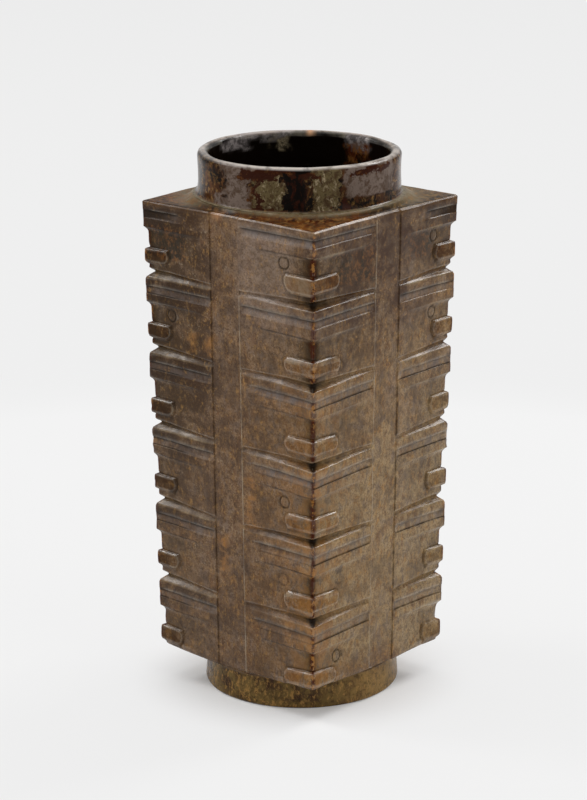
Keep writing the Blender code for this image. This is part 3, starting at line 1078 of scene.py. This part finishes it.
def plain_colour(g):
    """The plain faces: clouded brown stone with blotches, flecks and stains."""
    even = g.warm(0.0, 1.0, 0.6, 0.42)
    flecked = g.times(g.flecks(0.5, 0.64), g.patches(0.44, 0.6, 0.1, 1.0))
    rusty = g.layers(DEEP_RUST, (RUST, g.flecks(0.46, 0.56)), (DIRT_AND_SHADE, g.mottle(0.47, 0.56)))
    return g.layers(
        GREY_BROWN,
        (OLIVE_BROWN, g.warm(0.0, 1.0)),
        (RUST, g.clouds(0.48, 0.66, 0.0, 0.6)),
        (LAVENDER, g.patches(0.48, 0.36, 0.0, 0.55)),
        (RUST, g.patches(0.5, 0.64, 0.0, 0.65)),
        (DARK_BROWN, g.times(even, g.blotches(0.42, 0.64))),
        (DARK_BROWN, g.times(even, g.mottle(0.45, 0.62))),
        (DARK_BROWN, g.fibres(0.44, 0.64, 0.0, 0.3)),
        (DARK_BROWN, g.math("MINIMUM", g.times(g.stain, 1.35), 0.92)),
        (DARK_BROWN, g.mask("dark_stain", 0.42)),
        (DARK_BROWN, g.mask("dark_spot", 0.5)),
        # Painted sheen on the near-left panel's upper tiers
        (PANEL_SHEEN_GREY, g.mask("panel_sheen", g.mottle(0.4, 0.6, 0.7, 0.3))),
        (OCHRE, g.times(flecked, g.warm(0.0, 1.0, 0.5, 0.65))),
        (CREAM, g.times(g.grain(0.58, 0.7), g.blotches(0.5, 0.4, 0.15, 0.5))),
        (DARK_BROWN, g.grain(0.5, 0.36, 0.0, 0.5)),
        (rusty, g.mask("rust_stain", g.patches(0.34, 0.46, 0.25, 0.82))),
        (HONEY, g.mask("spots", g.mottle(0.4, 0.6, 0.7, 0.1))),
        (HONEY, g.mask("warm_corner", g.patches(0.4, 0.56, 0.0, 0.7))),
        (DEEP_RUST, g.mask("dark_stain", g.blotches(0.42, 0.58), g.mottle(0.4, 0.55), 0.9)),
    )


def carved_colour(g):
    """The plain faces with the grime, wear and rust of the carving, and painted shade, highlights and sheen
    on its cuts.
    """
    crack = g.mask("vein", g.mottle(0.36, 0.52, 0.3, 1.0))
    corner = g.mask("corner", g.mottle(0.56, 0.44), g.patches(0.44, 0.54))
    return g.layers(
        plain_colour(g),
        # Painted shade in the eye band's recess
        (OLIVE_DARK, g.mask("recess", g.clouds(0.3, 0.6, 0.1, 0.2))),
        # Painted sheen on the channel's slope
        (CHANNEL_SHEEN_GREY, g.mask("channel", g.patches(0.35, 0.6, 0.75, 0.25))),
        (RUST, g.mask("rusty_nose", g.patches(0.42, 0.58, 0.0, 0.3))),
        (NOSE_BROWN, g.mask("pale_nose", g.patches(0.4, 0.6, 0.8, 0.3))),
        (DARK_BROWN, g.mask("bank", 0.3)),
        (DIRT_AND_SHADE, g.mask("rib", g.blotches(0.35, 0.6, 0.25, 0.5))),
        (SHADE_BROWN, g.shade(0.08, 0.75, 0.0, 0.9)),
        (DEEP_RUST, g.times(g.shade(0.4, 0.8), g.mottle(0.42, 0.56))),
        (RED_BROWN, g.span(crack, 0.15, 0.6, 0.0, 0.92)),
        (HONEY, g.span(corner, 0.15, 0.6, 0.0, 0.95)),
        # Painted shade in the notches
        (OLIVE_DARK, g.mask("notch", 0.6)),
        (DIRT_AND_SHADE, g.span(g.mask("notch"), 0.45, 0.9, 0.0, 0.95)),
        # Painted shade in the notch's deepest crease
        (DIRT_AND_SHADE, g.span(g.mask("crease_shade"), 0.12, 0.6, 0.0, 0.95)),
        (DIRT_AND_SHADE, g.mask("groove", g.blotches(0.38, 0.58, 0.15, 1.0), 0.75)),
        (DIRT_AND_SHADE, g.mask("eye", 0.6)),
        # Painted highlight lines
        (HIGHLIGHT_OLIVE, g.mask("ridge", g.blotches(0.35, 0.6, 0.8, 0.2))),
        (DIRT_AND_SHADE, g.mask("shadow", g.blotches(0.3, 0.55, 0.6, 0.95))),
        # Painted shade on the top edges away from the near corner
        (DARK_BROWN, g.mask("dull_shaded_edge", g.mottle(0.42, 0.6, 0.75, 0.4))),
    )


def shoulder_colour(g):
    return g.layers(
        SHOULDER_BROWN,
        (RED_BROWN, g.blotches(0.46, 0.56)),
        (SHOULDER_OLIVE, g.math("ADD", g.patches(0.54, 0.44, 0.0, 0.4), g.mask("warm", 0.5))),
        (OCHRE, g.mottle(0.5, 0.62, 0.0, 0.38)),
        (DIRT_AND_SHADE, g.times(g.mottle(0.5, 0.4), g.blotches(0.38, 0.52), 0.9)),
        (RING_OLIVE, g.mask("flare", g.mottle(0.42, 0.6, 0.9, 0.3))),
        (DIRT_AND_SHADE, g.mask("front_edge", g.mottle(0.42, 0.6, 0.85, 0.35))),
    )


def foot_colour(g):
    return g.layers(
        FOOT_OLIVE,
        (DARK_BROWN, g.blotches(0.42, 0.62)),
        (OCHRE, g.flecks(0.5, 0.64, 0.0, 0.7)),
        (DIRT_AND_SHADE, g.mottle(0.5, 0.66, 0.0, 0.7)),
        # Lighter right side of the foot: partly its tone, partly painted light
        (FOOT_WARM_LIT, g.mask("warm", g.mottle(0.4, 0.6, 0.75, 0.2))),
    )


def collar_colour(g):
    """The collar's dark ground, with ragged grey, olive, black and red areas on it."""
    grey = g.layers(
        COLLAR_GREY,
        (DARK_BROWN, g.mottle(0.46, 0.6, 0.0, 0.75)),
        (DARK_BROWN, g.blotches(0.46, 0.6, 0.0, 0.6)),
    )
    olive = g.layers(
        OLIVE_PATCH,
        (DARK_BROWN, g.mottle(0.44, 0.6, 0.0, 0.85)),
        (CREAM, g.times(g.flecks(0.5, 0.62), g.patches(0.44, 0.58), 0.7)),
        (DIRT_AND_SHADE, g.grain(0.44, 0.34, 0.0, 0.8)),
    )
    ragged = g.mottle(0.3, 0.7, -0.45, 0.45)

    def area(name, soft=0.1):
        return g.span(g.math("ADD", g.mask(name), ragged), 0.5 - soft, 0.5 + soft)

    return g.layers(
        DEEP_RUST,
        (BLACK, g.blotches(0.44, 0.58)),
        (RUST, g.patches(0.52, 0.64, 0.0, 0.5)),
        (OCHRE, g.times(g.mottle(0.5, 0.64), g.clouds(0.4, 0.6, 0.2, 0.7))),
        (grey, area("grey_patch", 0.3)),
        (olive, area("olive_patch")),
        (g.blend(BLACK, DEEP_RED, g.patches(0.5, 0.62)), area("black_patch")),
        (g.blend(DEEP_RED, RUST, g.mottle(0.54, 0.7, 0.0, 0.7)), area("red_patch")),
    )


def stone_colour(g):
    """The colours of all parts: body, shoulder, foot, collar, lip, bore and chips, with a painted highlight
    on the lip, painted reflections in the bore, and cream on proud edges that is wear and a painted
    highlight.
    """
    return g.layers(
        carved_colour(g),
        (shoulder_colour(g), g.mask("shoulder")),
        (g.blend(RING_OLIVE, OLIVE_DARK, g.mottle(0.44, 0.6, 0.0, 0.8)), g.mask("ring")),
        (foot_colour(g), g.mask("foot")),
        (collar_colour(g), g.mask("collar")),
        # Painted highlight on the lip's crest
        (LIP_HIGHLIGHT_GREY, g.mask("lip", g.blotches(0.44, 0.6, 0.85, 0.3))),
        (BLACK, g.mask("bore")),
        # Painted reflections in the bore and on the back of the lip
        (SHEEN_GREY, g.mask("sheen", g.mottle(0.4, 0.6, 0.8, 0.2))),
        (CREAM, g.mask("cream_patch", g.mottle(0.4, 0.6, 0.1, 0.7))),
        (g.blend(RED_BROWN, RUST, g.mottle(0.42, 0.58)), g.mask("ochre_patch", g.patches(0.36, 0.56))),
        (CHIP_PINK, g.mask("chip", 0.9)),
        # Cream on proud edges: wear, and a painted highlight
        (CREAM, g.times(g.span(g.mask("edge"), 0.5, 1.0), g.blotches(0.35, 0.6, 0.2, 0.025))),
    )


def set_gloss(g):
    """Polished edges and plain faces, and duller cuts, ends and stains."""
    rough = g.blotches(0.3, 0.7, 0.2, 0.33)
    rough = g.math("SUBTRACT", rough, g.span(g.mask("edge"), 0.1, 0.7, 0.0, 0.07))
    for name, more in ROUGHER_PARTS.items():
        rough = g.math("ADD", rough, g.mask(name, more))
    parts = [g.mask(name, share) for name, share in DULL_PARTS.items()]
    dull = g.most(g.shade(0.1, 0.6), g.times(g.stain, 0.6), *parts)
    polish = g.span(g.mask("edge"), 0.4, 0.95, 0.0, 0.35)
    g.shader.inputs["Specular IOR Level"].default_value = PLAIN_GLOSS
    g.fill(g.shader, {
        "Roughness": g.math("MAXIMUM", rough, LEAST_ROUGH),
        "IOR": STONE_IOR,
        "Specular IOR Level": g.math("ADD", g.span(dull, 0.0, 1.0, PLAIN_GLOSS, DULL_GLOSS), polish),
    })


def stone_material():
    g = stone_graph()
    set_gloss(g)
    bump = g.node("ShaderNodeBump")
    g.fill(bump, {"Strength": 0.4, "Distance": 0.15 * MM, "Height": g.relief})
    g.fill(g.shader, {"Base Color": stone_colour(g), "Normal": bump.outputs["Normal"]})
    return g.owner


# Stage, with its places and sizes in metres

PALE = (0.87, 0.87, 0.87)
MID_GREY = (0.865, 0.865, 0.865)
FAR_GREY = (0.82, 0.82, 0.82)
FLOOR_HALF = 6.0
SHADOW_EDGE = (0.034, 0.062)
SHADOW_SHARE = (0.2, 0.86)
EVEN_EDGE = (0.1, 0.4)
FAR_EDGE = (0.5, 2.5)
SKY_LEVEL = (0.25, 0.55)
LAMP_AIM = (0, 0, 0.09)

# Lamps: place, size and power
LAMPS = {
    "top_box": ((-0.1, 0.1, 1.5), 1.5, 10.5),
    "back_box": ((0.2, 0.95, 0.93), 0.42, 7.5),
    "left_box": ((-0.85, -0.38, 1.0), 0.32, 5.0),
    "front_box": ((-1.0, -1.07, 0.75), 0.9, 5.0),
    "right_box": ((1.25, 0.1, 0.7), 0.8, 3.5),
}


def seen_rays(g):
    """1 for what the camera sees, straight, reflected or through glass, and 0 for light on other things."""
    rays = g.node("ShaderNodeLightPath").outputs
    return g.most(rays["Is Camera Ray"], rays["Is Glossy Ray"], rays["Is Transmission Ray"])


def pale_material():
    """Pale paper that takes the object's shadow near it and is an even tone farther off."""
    g = Graph(bpy.data.materials.new("pale_paper"))
    g.fill(g.shader, {"Base Color": PALE, "Roughness": 1.0, "Specular IOR Level": 0.0})
    length = g.node("ShaderNodeVectorMath", operation="LENGTH")
    distance = g.fill(length, {0: g.place((1, 1, 1))})["Value"]
    even = g.most(g.span(distance, *SHADOW_EDGE, *SHADOW_SHARE), g.span(distance, *EVEN_EDGE))
    # The glow darkens slowly with distance, a painted falloff of light on the far floor
    tone = g.blend(MID_GREY, FAR_GREY, g.span(distance, *FAR_EDGE))
    glow = g.fill(g.node("ShaderNodeEmission"), {"Color": tone})[0]
    share = g.times(even, seen_rays(g))
    paper = g.fill(g.node("ShaderNodeMixShader"), {0: share, 1: g.shader.outputs[0], 2: glow})[0]
    g.fill(g.tree.nodes["Material Output"], {"Surface": paper})
    return g.owner


def add_object(name, data):
    thing = bpy.data.objects.new(name, data)
    bpy.context.scene.collection.objects.link(thing)
    return thing


def add_floor():
    corners = [(x * FLOOR_HALF, y * FLOOR_HALF, 0) for x, y in ((-1, -1), (1, -1), (1, 1), (-1, 1))]
    mesh = bpy.data.meshes.new("floor")
    mesh.from_pydata(corners, [], [(0, 1, 2, 3)])
    mesh.materials.append(pale_material())
    floor = add_object("floor", mesh)


def add_lamp(name, place, size, power):
    light = bpy.data.lights.new(name, "AREA")
    light.shape = "SQUARE"
    light.size = size
    light.energy = power
    lamp = add_object(name, light)
    lamp.location = place
    lamp.rotation_euler = (Vector(LAMP_AIM) - Vector(place)).to_track_quat("-Z", "Y").to_euler()


def add_world():
    """A white sky that is brighter to the camera than to the object."""
    g = Graph(bpy.data.worlds.new("studio"), "Background")
    g.fill(g.shader, {"Color": (1, 1, 1), "Strength": g.span(seen_rays(g), 0.0, 1.0, *SKY_LEVEL)})
    bpy.context.scene.world = g.owner


def add_camera():
    azimuth = math.radians(VIEW_AZIMUTH)
    elevation = math.radians(VIEW_ELEVATION)
    level = math.cos(elevation)
    back = Vector((math.sin(azimuth) * level, -math.cos(azimuth) * level, math.sin(elevation)))
    data = bpy.data.cameras.new("camera")
    data.lens = VIEW_LENS
    camera = add_object("camera", data)
    camera.location = Vector(VIEW_TARGET) + VIEW_DISTANCE * back
    camera.rotation_euler = (-back).to_track_quat("-Z", "Y").to_euler()
    bpy.context.scene.camera = camera


def main():
    stone = add_object("carved_stone", stone_mesh())
    stone.data.materials.append(stone_material())
    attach(stone, "root")
    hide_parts("cong_tube")
    add_floor()
    for name, lamp in LAMPS.items():
        add_lamp(name, *lamp)
    add_world()
    add_camera()
    bpy.context.scene.view_settings.view_transform = "Standard"


main()
